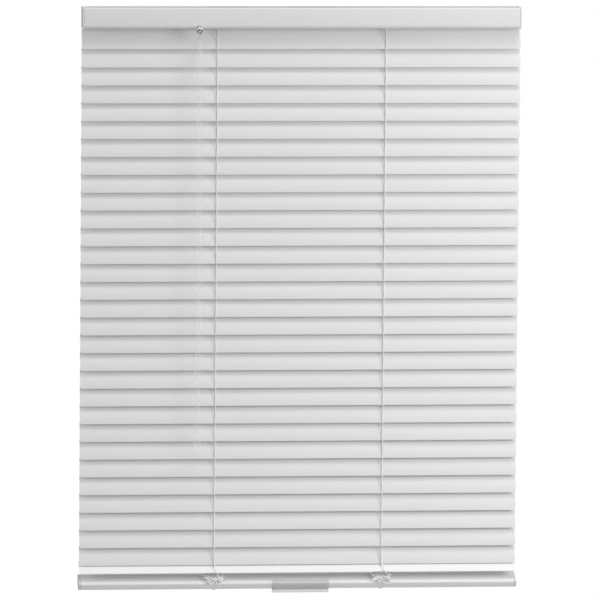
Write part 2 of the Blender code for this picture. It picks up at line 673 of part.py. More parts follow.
def make_slats():
    """Thirty-one slats that share one mesh. The last hangs flatter, near the bottom rail."""
    shared = slat_mesh()
    for index in range(SLAT_COUNT):
        last = index == SLAT_COUNT - 1
        z = LAST_SLAT_Z if last else FIRST_SLAT_Z - index * SLAT_PITCH
        tilt = LAST_SLAT_TILT if last else SLAT_TILT
        add(f"slat_{index + 1:02d}", shared, WHITE_VINYL, PARTS, (0, TILT_AXIS_Y, z), (tilt, 0, 0))


# ---- ladders -------------------------------------------------------------------------------
STRAND_STOPS = (-0.1, -0.3, -0.5)
BEND_ABOVE = 0.0105                 # over the last slat's edge: where an upright leaves the plumb line
EDGE_REACH = 0.0015                 # how far it runs straight past that edge, above it
FOOT_ACROSS = 0.008                 # where it ends on the rail's clip


def slat_edge(z, tilt, facing):
    """Where a slat's long edge is, in Y and Z. Facing is -1 at the front and 1 at the rear."""
    edge = Matrix.Rotation(tilt, 3, "X") @ Vector((0, facing * SLAT_WIDTH / 2, -SLAT_DROP))
    return TILT_AXIS_Y + edge.y, z + edge.z


def make_ladder_strand(name, side, facing):
    """One upright of a ladder, from its drum down past the slats' edges to the bottom rail."""
    x = side * LADDER_X
    y = slat_edge(FIRST_SLAT_Z, SLAT_TILT, facing)[0] + facing * STRAND_STAND_OFF
    wide, level = slat_edge(LAST_SLAT_Z, LAST_SLAT_TILT, facing)
    wide += facing * STRAND_STAND_OFF
    points = [(x, y, z) for z in (ROD_Z, *STRAND_STOPS, level + BEND_ABOVE)]
    points += [(x, wide, level + EDGE_REACH), (x, wide, level - STRAND_STAND_OFF)]
    over_clip = RAIL_TOP + 2 * CLEARANCE + CLIP_PLATE + STRAND_RADIUS
    foot = rail_point(facing * FOOT_ACROSS, over_clip)
    points += [(x, foot.y, foot.z)]
    tube(name, points, STRAND_RADIUS, WHITE_CORD)


# ---- bottom rail ---------------------------------------------------------------------------
RAIL_CORNER = (0.0018, 0.0006)      # outside, and the least one inside
GROOVE_HALF = (0.0008, 0.0003)      # at the surface and at the bottom
RAIL_PLUG_BOX = ((-0.008, -0.0020), (0.008, 0.0025))
RAIL_PLUG_LENGTH = 0.008
RAIL_PLUG_CORNER = 0.001
CLIP_CORNER = 0.0006


def rail_point(across, up):
    """A point of the bottom rail's tilted section, in the blind's own frame."""
    turned_section = Matrix.Rotation(RAIL_TILT, 3, "X") @ Vector((0, across, up))
    return Vector((0, TILT_AXIS_Y, RAIL_Z)) + turned_section


def rail_outline(inset=0.0, grooves=0):
    """The rail's section: a flat, grooved top on a rounded underside."""
    half = RAIL_WIDTH / 2 - inset
    top = RAIL_TOP - inset
    belly = RAIL_BELLY - inset
    corner = max(RAIL_CORNER[0] - inset, RAIL_CORNER[1])
    outline = arc((half - corner, top - corner), corner, 0, 90, 3)
    pitch = 2 * (half - corner) / (grooves + 1) if grooves else 0
    for groove in range(grooves):
        middle = half - corner - pitch * (groove + 1)
        mouth, bed = GROOVE_HALF
        outline += [(middle + mouth, top), (middle + bed, top - RAIL_GROOVE_DEPTH)]
        outline += [(middle - bed, top - RAIL_GROOVE_DEPTH), (middle - mouth, top)]
    outline += arc((-half + corner, top - corner), corner, 90, 180, 3)
    for step in range(1, 12):
        angle = math.pi + math.pi * step / 12
        outline.append((half * math.cos(angle), RAIL_SHOULDER + belly * math.sin(angle)))
    return outline


def make_bottom_rail():
    outlines = [rail_outline(0, RAIL_GROOVES), rail_outline(RAIL_WALL)]
    half = RAIL_LENGTH / 2
    centre = (TILT_AXIS_Y, RAIL_Z)
    rail = prism("bottom_rail", outlines, -half, half, WHITE_VINYL, centre=centre, turn=RAIL_TILT)
    for side in (-1, 1):
        along = Vector((side * LADDER_X, 0, 0))
        low = rail_point(0, RAIL_SHOULDER - RAIL_BELLY - THROUGH) + along
        high = rail_point(0, RAIL_TOP + THROUGH) + along
        radius = CLIP_STEM_RADIUS + CLEARANCE
        boolean(rail, cylinder(f"stem_hole_{side}", radius, low, high, None, CUTTERS))


def make_rail_cap(name, side):
    """A plate over the rail's end, with a plug inside its hollow."""
    face = side * RAIL_LENGTH / 2
    inner = face + side * CLEARANCE
    outer = face + side * RAIL_CAP_PLATE
    centre = (TILT_AXIS_Y, RAIL_Z)
    span = (min(inner, outer), max(inner, outer))
    cap = prism(name, [rail_outline()], *span, WHITE_PLASTIC, centre=centre, turn=RAIL_TILT)
    span = sorted((face - side * RAIL_PLUG_LENGTH, (inner + outer) / 2))
    plug_outline = rounded_box(*RAIL_PLUG_BOX, RAIL_PLUG_CORNER, 2)
    plug = prism(f"{name}_plug", [plug_outline], *span, None, CUTTERS, centre, RAIL_TILT)
    boolean(cap, plug, "UNION")


def make_clip(name, side):
    """The clear ladder clip: a plate on the rail, a stem through it and a button underneath."""
    x = side * LADDER_X
    under = RAIL_TOP + CLEARANCE
    outline = rounded_box((CLIP_FRONT, under), (CLIP_BACK, under + CLIP_PLATE), CLIP_CORNER, 2)
    span = (x - CLIP_WIDTH / 2, x + CLIP_WIDTH / 2)
    centre = (TILT_AXIS_Y, RAIL_Z)
    clip = prism(name, [outline], *span, CLEAR_PLASTIC, centre=centre, turn=RAIL_TILT)
    along = Vector((x, 0, 0))
    belly = RAIL_SHOULDER - RAIL_BELLY
    low = rail_point(0, belly - BUTTON_DEPTH / 2) + along
    high = rail_point(0, under + CLIP_PLATE / 2) + along
    stem = cylinder(f"{name}_stem", CLIP_STEM_RADIUS, low, high, None, CUTTERS, 12)
    low = rail_point(0, belly - BUTTON_DEPTH) + along
    high = rail_point(0, belly - CLEARANCE) + along
    button = cylinder(f"{name}_button", BUTTON_RADIUS, low, high, None, CUTTERS, 16)
    boolean(clip, stem, "UNION")
    boolean(clip, button, "UNION")


HANDLE_CORNER = (0.0010, 0.0012)    # the inside bevel over the rail's front edge
HANDLE_STEPS = 6
HANDLE_STEP = math.radians(14)


def make_lift_handle():
    """A clear grip that hooks over the rail's front and ends in a round finger lip."""
    half = RAIL_WIDTH / 2 + CLEARANCE
    belly = RAIL_BELLY + CLEARANCE
    top = RAIL_TOP + CLEARANCE
    hook = -half + HANDLE_HOOK
    in_y, in_z = HANDLE_CORNER
    inner = [(hook, top), (-half + in_y, top), (-half, top - in_z)]
    outer = [(hook, top + HANDLE_WALL), (-half, top + HANDLE_WALL), (-half - HANDLE_WALL, top - in_z / 2)]
    reach = half + HANDLE_WALL
    drop = belly + HANDLE_WALL
    for step in range(HANDLE_STEPS):
        angle = math.pi + HANDLE_STEP * step
        inner.append((half * math.cos(angle), RAIL_SHOULDER + belly * math.sin(angle)))
        outer.append((reach * math.cos(angle), RAIL_SHOULDER + drop * math.sin(angle)))
    ends = (HANDLE_X - HANDLE_WIDTH / 2, HANDLE_X + HANDLE_WIDTH / 2)
    centre = (TILT_AXIS_Y, RAIL_Z)
    handle = prism("lift_handle", [inner + outer[::-1]], *ends, CLEAR_PLASTIC, centre=centre, turn=RAIL_TILT)
    middle = rail_point(*HANDLE_LIP)
    low, high = [middle + Vector((x, 0, 0)) for x in (ends[0] + LIP_INSET, ends[1] - LIP_INSET)]
    boolean(handle, cylinder("handle_lip", HANDLE_LIP_RADIUS, low, high, None, CUTTERS, 14), "UNION")


# ---- assembly ------------------------------------------------------------------------------
SIDES = (("left", -1), ("right", 1))

make_headrail()
make_tilt_rod()
make_gear()
make_worm()
make_tilter_housing()
make_wand_sleeve()
make_wand()
make_motor_housing()
make_motor_drum()
make_storage_drum()
make_motor_spring()
make_slats()
make_bottom_rail()
make_lift_handle()
for label, sign in SIDES:
    make_headrail_cap(f"headrail_cap_{label}", sign)
    make_drum(f"ladder_drum_{label}", sign)
    make_cradle(f"cradle_{label}", sign)
    make_lift_cord(f"lift_cord_{label}", sign)
    make_ladder_strand(f"ladder_{label}_front", sign, -1)
    make_ladder_strand(f"ladder_{label}_rear", sign, 1)
    make_rail_cap(f"bottom_cap_{label}", sign)
    make_clip(f"ladder_clip_{label}", sign)
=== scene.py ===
"""The looks of a one-inch venetian mini blind: slats, ladders, cords, rails, wand and clips.

Units are metres, +Z is up and the front, towards the room, is -Y.
The origin is the centre of the headrail's flat back face, as in the CAD model.
"""
import math
import random

import bmesh
import bpy
from mathutils import Matrix, Vector


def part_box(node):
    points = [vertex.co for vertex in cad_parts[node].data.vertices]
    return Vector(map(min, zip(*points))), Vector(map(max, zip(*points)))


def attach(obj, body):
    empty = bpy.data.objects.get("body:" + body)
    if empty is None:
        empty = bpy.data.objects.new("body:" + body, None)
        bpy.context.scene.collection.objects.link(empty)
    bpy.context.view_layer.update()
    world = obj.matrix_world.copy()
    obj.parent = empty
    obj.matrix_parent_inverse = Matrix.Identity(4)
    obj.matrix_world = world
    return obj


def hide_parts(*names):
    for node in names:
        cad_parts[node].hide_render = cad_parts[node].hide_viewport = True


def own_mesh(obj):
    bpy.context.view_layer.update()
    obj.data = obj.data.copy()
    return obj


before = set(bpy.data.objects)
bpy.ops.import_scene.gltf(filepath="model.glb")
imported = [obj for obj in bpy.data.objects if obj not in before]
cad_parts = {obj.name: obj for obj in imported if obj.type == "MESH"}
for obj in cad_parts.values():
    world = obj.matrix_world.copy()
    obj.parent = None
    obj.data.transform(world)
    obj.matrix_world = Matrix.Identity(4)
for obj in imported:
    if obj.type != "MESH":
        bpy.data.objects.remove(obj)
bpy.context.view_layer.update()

# ---- driving dimensions, the CAD model's own ------------------------------------------------
AXIS_Y = -0.0127                # the plane that the slats turn in
CLEARANCE = 0.0003

HEADRAIL_HALF = 0.0127
HEADRAIL_DEPTH = 0.0254
HEADRAIL_WALL = 0.0008
HEADRAIL_LIP = 0.0032
TOP_ROLL = 0.0012               # radius of the rolled upper edges
FRONT_CORNER = 0.004
BACK_CORNER = 0.0015
LADDER_OPENING = ((-0.006, -0.0210), (0.006, -0.0044))     # low and high corner, about the ladder's X
OPENING_CORNER = 0.001
CORD_SLOT = ((0.124, -0.0215), (0.148, -0.0180))
CORD_SLOT_CORNER = 0.00174
STEM_BORE_RADIUS = 0.0024
STEM_BORE_DEPTH = 0.016
CUT_REACH = 0.002               # how far a cutter goes each way from the headrail's floor

SLAT_COUNT = 31
SLAT_LENGTH = 0.529
SLAT_HALF = 0.0125
SLAT_THICKNESS = 0.0004
SLAT_CROWN = 0.0015
SLAT_DROP = 0.00075
SLAT_CORNER = 0.0025
SLAT_PITCH = 0.0215
FIRST_SLAT_Z = -0.0260
LAST_SLAT_Z = -0.6632
FIRST_SLAT_LIFT = 0.0005        # the first slat sits a little high, close under the headrail
SLAT_TILT = math.radians(75)
LAST_SLAT_TILT = math.radians(30)
SLOT_HALF_WIDTH = 0.0009
SLOT_HALF_LENGTH = 0.006
SLAT_LEAN = 0.6                 # degrees that a slat may hang off its tilt, either way
SLAT_WAVE = (0.3, 1.0)          # degrees of twist along a slat
SLAT_WAVE_LENGTH = (0.25, 0.6)

LADDER_X = 0.1015
STRAND_RADIUS = 0.0005
STRAND_BEND = {"left": 0.0045, "right": 0.0068}     # the lean of each front upright to reach its clip
RUNG_RADIUS = 0.00032
RUNG_REACH = SLAT_HALF + 0.001
LIFT_CORD_RADIUS = 0.0006
DRUM_Z = 0.006
FRONT_STRAND_Y = -0.01621
REAR_STRAND_Y = -0.00774
STRAND_TRAVEL = 0.02415         # how far the strands rise or sink over the whole tilt
STRAND_TOP_END = -0.038         # the level where a strand's top stretch meets its main one
STRAND_SWAY = 0.0003
STRAND_STEP = 0.0107
FRONT_MAIN_END = -0.661
REAR_MAIN_END = -0.6392
# Each front upright's way past the last slat to its clip: share of its lean, Y and Z.
FRONT_FOOT = (
    (0, -0.0169, -0.640), (0, -0.0169, -0.652), (0.1, -0.0179, -0.6605), (0.45, -0.0241, -0.6687),
    (0.75, -0.0243, -0.6715), (1, -0.0238, -0.6752), (1, -0.0226, -0.6786),
)
# Each rear upright's way round the last slat to the rail: Y and Z.
REAR_FOOT = (
    (REAR_STRAND_Y, -0.634), (REAR_STRAND_Y, -0.644), (-0.0040, -0.6515), (-0.0013, -0.6565),
    (-0.0014, -0.6605), (-0.0079, -0.6722), (-0.0082, -0.6775),
)

RUN_Z = -0.0014                 # the level of the lift cords' run in the headrail
SPOOL_RADIUS = 0.005
SPOOL_X = 0.031
RUN_BEND = 0.003
RUN_TURN_IN = 0.022             # how far from the ladder a run reaches the slats' plane
RUN_END = -0.016
FALL_TOP = -0.0145
FALL_FOOT = 0.0082              # above the middle of the rail

STEM_END = Vector((-0.1245, -0.0302, -0.0145))
STEM_LEAN = math.radians(57.3)
WAND_LENGTH = 0.496
KNOB_RADIUS = 0.0037
KNOB_HALF = 0.0018
WAND_RADIUS = 0.0030
WAND_TIP_RADIUS = 0.0045
WAND_SWELL = 0.017              # length of the wand's swell
WAND_TIP_LENGTH = 0.009
SLEEVE_WALL = 0.0007
SLEEVE_FLOOR = -0.0050
SLEEVE_FOOT = -0.0115
SLEEVE_ROUND = 0.0012
PLUG_RADIUS = 0.0021
RING_THICKNESS = 0.00075
RING_START = 100                # degrees from +X
RING_SWEEP = -305

RAIL_Z = -0.682
RAIL_TILT = math.radians(23)
RAIL_HALF_LENGTH = 0.263
RAIL_HALF = 0.0125
RAIL_TOP = 0.0045
RAIL_BELLY = 0.0105
RAIL_SHOULDER = 0.002
RAIL_WALL = 0.0012
RAIL_CORNER = 0.0018
RAIL_GROOVES = 5
GROOVE_DEPTH = 0.0008
GROOVE_HALF = 0.0009

HANDLE_X = 0.003
HANDLE_WIDTH = 0.068
HANDLE_WALL = 0.0014
HANDLE_HOOK = 0.0045
HANDLE_LIP_RADIUS = 0.0021
HANDLE_LIP = (-0.0101, -0.0079)
# The inner and outer line of the handle round the rail's top front edge: Y and Z from that edge.
HANDLE_INNER = ((0.001, 0), (0.0003, -0.0003), (0, -0.0012))
HANDLE_OUTER = ((0.0002, HANDLE_WALL), (-0.7 * HANDLE_WALL, 0.5 * HANDLE_WALL), (-HANDLE_WALL, -0.0006))

CLIP_WIDTH = 0.018
CLIP_THICKNESS = 0.0015
CLIP_EDGE = 0.0006
CLIP_BACK = 0.0099
CLIP_FRONT = -0.0109
BUTTON_RADIUS = 0.0041
BUTTON_DEPTH = 0.0022
BUTTON_STEM = 0.0025

SLACK_LOOPS = 10
SLACK_RADIUS = 0.00052
SLACK_POINTS = 10
SLACK_SPREAD = (0.0096, 0.0032)     # half width of the first loop, and what the last adds to it
SLACK_DEPTH = (-0.0130, 0.0150)     # place of the first loop from front to back, and the last's from it
SLACK_HEIGHT = 0.0030
SLACK_DROOP = (-0.0122, 2.5)        # where a loop starts to hang over the front edge, and how steeply

SIDES = (("left", -1), ("right", 1))


# ---- materials ------------------------------------------------------------------------------
EVEN = (1, 1, 1)
ALONG_X = (0.02, 1, 1)          # grain drawn out along the slats and rails
ALONG_Z = (1, 1, 0.03)
NOISE_DETAIL = 4.0
NOISE_ROUGHNESS = 0.55
TEXTURE_RANGE = (0.3, 0.7)      # where most of a noise texture's values lie
BROAD_GRAIN = 12                # how many times coarser the broad grain is than the fine
BROAD_DETAIL = 2.0
BROAD_RELIEF = 2                # and how many times higher
CLEAR_BLEND = 0.42
SCUFF_SCALE = 900
SCUFF_STRETCH = (1, 1, 0.15)
SCUFF_ROUGHNESS = 0.10
SCUFF_HEIGHT = 0.000001
BRAID_SLANT = 38
BRAID_DISTORTION = 0.6
BRAID_HEIGHT = 0.00004
CORD_SHEEN = 0.2
FUZZ_SCALE = 6000
FUZZ_ROUGHNESS = (0.7, 0.9)


def new_look(name):
    """A material with its Principled shader, ready for nodes."""
    look = bpy.data.materials.new(name)
    look.use_nodes = True
    return look, look.node_tree, look.node_tree.nodes["Principled BSDF"]


def noise(tree, scale, stretch=EVEN, detail=NOISE_DETAIL):
    """Noise in the piece's own metres, stretched along an axis where stretch is small."""
    place = tree.nodes.new("ShaderNodeTexCoord")
    mapping = tree.nodes.new("ShaderNodeMapping")
    mapping.inputs["Scale"].default_value = stretch
    made = tree.nodes.new("ShaderNodeTexNoise")
    made.inputs["Scale"].default_value = scale
    made.inputs["Detail"].default_value = detail
    made.inputs["Roughness"].default_value = NOISE_ROUGHNESS
    tree.links.new(place.outputs["Object"], mapping.inputs["Vector"])
    tree.links.new(mapping.outputs["Vector"], made.inputs["Vector"])
    return made.outputs["Fac"]


def spread(tree, value, low, high):
    """Maps a texture's middle range onto low to high."""
    made = tree.nodes.new("ShaderNodeMapRange")
    made.inputs["From Min"].default_value = TEXTURE_RANGE[0]
    made.inputs["From Max"].default_value = TEXTURE_RANGE[1]
    made.inputs["To Min"].default_value = low
    made.inputs["To Max"].default_value = high
    tree.links.new(value, made.inputs["Value"])
    return made.outputs["Result"]


def tint(tree, value, dark, light):
    """A colour between dark and light, by a texture."""
    made = tree.nodes.new("ShaderNodeMix")
    made.data_type = "RGBA"
    made.inputs["A"].default_value = (*dark, 1)
    made.inputs["B"].default_value = (*light, 1)
    tree.links.new(value, made.inputs["Factor"])
    return made.outputs["Result"]


def relief(tree, shader, value, height, previous=None):
    """Raises the surface by a texture, height in metres."""
    made = tree.nodes.new("ShaderNodeBump")
    made.inputs["Distance"].default_value = height
    made.inputs["Strength"].default_value = 1.0
    tree.links.new(value, made.inputs["Height"])
    if previous is not None:
        tree.links.new(previous, made.inputs["Normal"])
    tree.links.new(made.outputs["Normal"], shader.inputs["Normal"])
    return made.outputs["Normal"]


def grained(name, dark, light, rough, grain, height, stretch=EVEN, metallic=0.0):
    """A surface with fine grain: colour, roughness and relief all follow noise of that scale."""
    look, tree, shader = new_look(name)
    fine = noise(tree, grain, stretch)
    broad = noise(tree, grain / BROAD_GRAIN, stretch, BROAD_DETAIL)
    tree.links.new(tint(tree, broad, dark, light), shader.inputs["Base Color"])
    tree.links.new(spread(tree, fine, *rough), shader.inputs["Roughness"])
    shader.inputs["Metallic"].default_value = metallic
    first = relief(tree, shader, fine, height)
    relief(tree, shader, broad, height * BROAD_RELIEF, first)
    return look


def clear_look(name, body_colour, painted_rim_colour, facing_alpha, rim_alpha, rough):
    """Clear plastic: nearly unseen face on; where the surface turns away its colour turns to the rim colour,
    a painted reflection at the rims.
    """
    look, tree, shader = new_look(name)
    weight = tree.nodes.new("ShaderNodeLayerWeight")
    weight.inputs["Blend"].default_value = CLEAR_BLEND
    scuff = noise(tree, SCUFF_SCALE, SCUFF_STRETCH)
    # The colour follows how far the surface turns from the view: painted reflection, whiter or darker at the
    # rims.
    tree.links.new(tint(tree, weight.outputs["Facing"], body_colour, painted_rim_colour), shader.inputs["Base Color"])
    tree.links.new(spread(tree, scuff, rough, rough + SCUFF_ROUGHNESS), shader.inputs["Roughness"])
    alpha = tree.nodes.new("ShaderNodeMapRange")
    alpha.inputs["To Min"].default_value = facing_alpha
    alpha.inputs["To Max"].default_value = rim_alpha
    tree.links.new(weight.outputs["Facing"], alpha.inputs["Value"])
    tree.links.new(alpha.outputs["Result"], shader.inputs["Alpha"])
    relief(tree, shader, scuff, SCUFF_HEIGHT)
    return look


def cord_look(name, dark, light, turns):
    """Braided cord: two sets of slanting ridges that cross."""
    look, tree, shader = new_look(name)
    place = tree.nodes.new("ShaderNodeTexCoord")
    ridges = []
    for slant in (1, -1):
        mapping = tree.nodes.new("ShaderNodeMapping")
        mapping.inputs["Rotation"].default_value = (0, math.radians(BRAID_SLANT * slant), 0)
        wave = tree.nodes.new("ShaderNodeTexWave")
        wave.bands_direction = "Z"
        wave.inputs["Scale"].default_value = turns
        wave.inputs["Distortion"].default_value = BRAID_DISTORTION
        tree.links.new(place.outputs["Object"], mapping.inputs["Vector"])
        tree.links.new(mapping.outputs["Vector"], wave.inputs["Vector"])
        ridges.append(wave.outputs["Fac"])
    braid = tree.nodes.new("ShaderNodeMath")
    braid.operation = "MAXIMUM"
    tree.links.new(ridges[0], braid.inputs[0])
    tree.links.new(ridges[1], braid.inputs[1])
    # The grooves between the braid's ridges are painted darker: painted shade.
    tree.links.new(tint(tree, braid.outputs["Value"], dark, light), shader.inputs["Base Color"])
    fuzz = noise(tree, FUZZ_SCALE)
    tree.links.new(spread(tree, fuzz, *FUZZ_ROUGHNESS), shader.inputs["Roughness"])
    relief(tree, shader, braid.outputs["Value"], BRAID_HEIGHT)
    shader.inputs["Sheen Weight"].default_value = CORD_SHEEN
    return look


VINYL = grained(
    "slat_vinyl", dark=(0.845, 0.845, 0.84), light=(0.87, 0.87, 0.868), rough=(0.34, 0.48),
    grain=2200, height=0.000006, stretch=ALONG_X,
)
PAINT = grained(
    "headrail_paint", dark=(0.84, 0.84, 0.835), light=(0.87, 0.87, 0.865), rough=(0.26, 0.40),
    grain=700, height=0.00001,
)
RAIL_VINYL = grained(
    "rail_vinyl", dark=(0.78, 0.78, 0.78), light=(0.82, 0.82, 0.82), rough=(0.16, 0.26),
    grain=1600, height=0.000008, stretch=ALONG_X,
)
MOULDED = grained(
    "moulded_white", dark=(0.70, 0.70, 0.69), light=(0.76, 0.76, 0.75), rough=(0.38, 0.55),
    grain=2600, height=0.00001,
)
GREY_MOULDED = grained(
    "moulded_grey", dark=(0.30, 0.30, 0.31), light=(0.37, 0.37, 0.38), rough=(0.4, 0.6),
    grain=2400, height=0.00001,
)
STEEL = grained(
    "zinc_steel", dark=(0.48, 0.48, 0.49), light=(0.60, 0.60, 0.61), rough=(0.25, 0.42),
    grain=1500, height=0.000005, stretch=ALONG_X, metallic=1.0,
)
DARK_STEEL = grained(
    "dark_steel", dark=(0.10, 0.10, 0.105), light=(0.16, 0.16, 0.165), rough=(0.3, 0.45),
    grain=1800, height=0.000005, metallic=0.8,
)
SPRING = grained(
    "spring_steel", dark=(0.28, 0.29, 0.32), light=(0.40, 0.40, 0.42), rough=(0.22, 0.38),
    grain=1400, height=0.000004, stretch=ALONG_Z, metallic=1.0,
)
# dark is the painted shade in the braid's grooves, light the colour of the ridge tops.
CORD = cord_look("ladder_cord", dark=(0.84, 0.84, 0.83), light=(0.95, 0.95, 0.94), turns=700)
LIFT_CORD = cord_look("lift_cord", dark=(0.80, 0.80, 0.79), light=(0.93, 0.93, 0.92), turns=520)
# The rod's rims are painted a little whiter than its body: painted reflection.
CLEAR_ROD = clear_look(
    "clear_rod", body_colour=(0.92, 0.93, 0.93), painted_rim_colour=(0.96, 0.97, 0.97),
    facing_alpha=0.05, rim_alpha=0.38, rough=0.05,
)
# The clip's rims are painted a little whiter than its body: painted reflection.
CLEAR_CLIP = clear_look(
    "clear_clip", body_colour=(0.93, 0.95, 0.95), painted_rim_colour=(0.95, 0.96, 0.96),
    facing_alpha=0.35, rim_alpha=0.85, rough=0.05,
)
# The grip's rim colour is nearly black: painted shade along its edges and lip.
CLEAR_GRIP = clear_look(
    "clear_grip", body_colour=(0.95, 0.96, 0.96), painted_rim_colour=(0.10, 0.10, 0.11),
    facing_alpha=0.32, rim_alpha=0.95, rough=0.03,
)


# ---- shapes ---------------------------------------------------------------------------------
def smooth(data, angle=32):
    """Smooth shading, with a crease wherever two faces meet at more than angle."""
    form = bmesh.new()
    form.from_mesh(data)
    for face in form.faces:
        face.smooth = True
    for edge in form.edges:
        edge.smooth = len(edge.link_faces) == 2 and edge.calc_face_angle(0) < math.radians(angle)
    form.to_mesh(data)
    form.free()


def piece(name, data, look, body, stands_for):
    """A finished piece that rides on a body, and stands for the CAD nodes named."""
    made = bpy.data.objects.new(name, data)
    bpy.context.scene.collection.objects.link(made)
    data.materials.clear()
    data.materials.append(look)
    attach(made, body)
    if stands_for:
        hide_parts(*stands_for)
    return made


def worked(name, form, steps=()):
    """The mesh of a form after a list of modifiers, each a type and its settings."""
    data = bpy.data.meshes.new(name)
    form.to_mesh(data)
    form.free()
    bench = bpy.data.objects.new(f"{name}_bench", data)
    bpy.context.scene.collection.objects.link(bench)
    for kind, settings in steps:
        step = bench.modifiers.new(kind.title(), kind)
        for setting, value in settings.items():
            setattr(step, setting, value)
    bpy.context.view_layer.update()
    ready = bench.evaluated_get(bpy.context.evaluated_depsgraph_get())
    made = bpy.data.meshes.new_from_object(ready)
    made.name = name
    bpy.data.objects.remove(bench, do_unlink=True)
    return made


def arc(centre, radius, start, end, steps):
    """Points on an arc, with angles in degrees."""
    points = []
    for step in range(steps + 1):
        angle = math.radians(start + (end - start) * step / steps)
        points.append((centre[0] + radius * math.cos(angle), centre[1] + radius * math.sin(angle)))
    return points


def swept(points, stations, closed, capped=False):
    """A section of (y, z) points carried along X through the stations."""
    form = bmesh.new()
    rings = [[form.verts.new((x, y, z)) for y, z in points] for x in stations]
    count = len(points)
    spans = count if closed else count - 1
    for near, far in zip(rings, rings[1:]):
        for index in range(spans):
            after = (index + 1) % count
            form.faces.new((near[index], near[after], far[after], far[index]))
    if capped:
        form.faces.new(rings[0])
        form.faces.new(rings[-1][::-1])
    bmesh.ops.recalc_face_normals(form, faces=form.faces)
    return form


def turned(profile, segments):
    """A profile of (radius, height) turned about Z."""
    form = bmesh.new()
    line = [form.verts.new((radius, 0, height)) for radius, height in profile]
    edges = [form.edges.new(pair) for pair in zip(line, line[1:])]
    bmesh.ops.spin(
        form, geom=line + edges, cent=(0, 0, 0), axis=(0, 0, 1),
        angle=2 * math.pi, steps=segments, use_merge=True,
    )
    bmesh.ops.remove_doubles(form, verts=form.verts, dist=0.000002)
    bmesh.ops.recalc_face_normals(form, faces=form.faces)
    return form


def smooth_path(points, per_span):
    """A curve through the points, with even steps in each span."""
    ends = [2 * points[0] - points[1], *points, 2 * points[-1] - points[-2]]
    path = []
    for before, start, stop, after in zip(ends, ends[1:], ends[2:], ends[3:]):
        for step in range(per_span):
            t = step / per_span
            path.append(0.5 * (
                2 * start + (stop - before) * t
                + (2 * before - 5 * start + 4 * stop - after) * t * t
                + (3 * start - before - 3 * stop + after) * t ** 3
            ))
    path.append(points[-1])
    return path


def tube(path, radius, sides=8):
    """A round cord along a path, with closed ends."""
    form = bmesh.new()
    across = Vector((1, 0, 0))
    nearly_along = 0.95
    rings = []
    for index, point in enumerate(path):
        ahead = path[min(index + 1, len(path) - 1)] - path[max(index - 1, 0)]
        ahead.normalize()
        if abs(across.dot(ahead)) > nearly_along:
            across = ahead.orthogonal()
        across = (across - ahead * across.dot(ahead)).normalized()
        other = ahead.cross(across)
        ring = []
        for side in range(sides):
            angle = 2 * math.pi * side / sides
            ring.append(form.verts.new(point + radius * (across * math.cos(angle) + other * math.sin(angle))))
        rings.append(ring)
    for near, far in zip(rings, rings[1:]):
        for side in range(sides):
            after = (side + 1) % sides
            form.faces.new((near[side], near[after], far[after], far[side]))
    form.faces.new(rings[0][::-1])
    form.faces.new(rings[-1])
    bmesh.ops.recalc_face_normals(form, faces=form.faces)
    return form


def cord(name, points, radius, look, body, stands_for=(), per_span=6):
    """A round piece bent along a smooth line through the points."""
    form = tube(smooth_path([Vector(point) for point in points], per_span), radius)
    data = worked(name, form)
    smooth(data, 60)
    return piece(name, data, look, body, stands_for)


def restyle(look, *nodes):
    """Gives CAD nodes a better material."""
    for node in nodes:
        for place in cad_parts[node].material_slots:
            place.material = look


# ---- headrail -------------------------------------------------------------------------------
def headrail_section():
    """The channel's outer line: back lip, back, floor, soft front corner, front, rolled front lip."""
    depth = HEADRAIL_DEPTH
    half = HEADRAIL_HALF
    section = [(-HEADRAIL_LIP, half)]
    section += arc((-TOP_ROLL, half - TOP_ROLL), TOP_ROLL, 90, 0, 5)
    section += arc((-BACK_CORNER, -half + BACK_CORNER), BACK_CORNER, 0, -90, 5)
    section += arc((-depth + FRONT_CORNER, -half + FRONT_CORNER), FRONT_CORNER, -90, -180, 10)
    section += arc((-depth + TOP_ROLL, half - TOP_ROLL), TOP_ROLL, 180, 90, 6)
    section.append((-depth + HEADRAIL_LIP, half))
    return section


def cutter(name, form):
    """An object that only cuts, and is removed again."""
    data = bpy.data.meshes.new(name)
    form.to_mesh(data)
    form.free()
    made = bpy.data.objects.new(name, data)
    bpy.context.scene.collection.objects.link(made)
    return made


def oblong(low, high, radius):
    """A cutter with round corners through the headrail's floor."""
    (left, front), (right, back) = low, high
    outline = arc((right - radius, back - radius), radius, 0, 90, 6)
    outline += arc((left + radius, back - radius), radius, 90, 180, 6)
    outline += arc((left + radius, front + radius), radius, 180, 270, 6)
    outline += arc((right - radius, front + radius), radius, 270, 360, 6)
    form = bmesh.new()
    base = form.faces.new([form.verts.new((x, y, -HEADRAIL_HALF - CUT_REACH)) for x, y in outline])
    raised = bmesh.ops.extrude_face_region(form, geom=[base])["geom"]
    moved = [item for item in raised if isinstance(item, bmesh.types.BMVert)]
    bmesh.ops.translate(form, vec=(0, 0, 2 * CUT_REACH), verts=moved)
    bmesh.ops.recalc_face_normals(form, faces=form.faces)
    return form


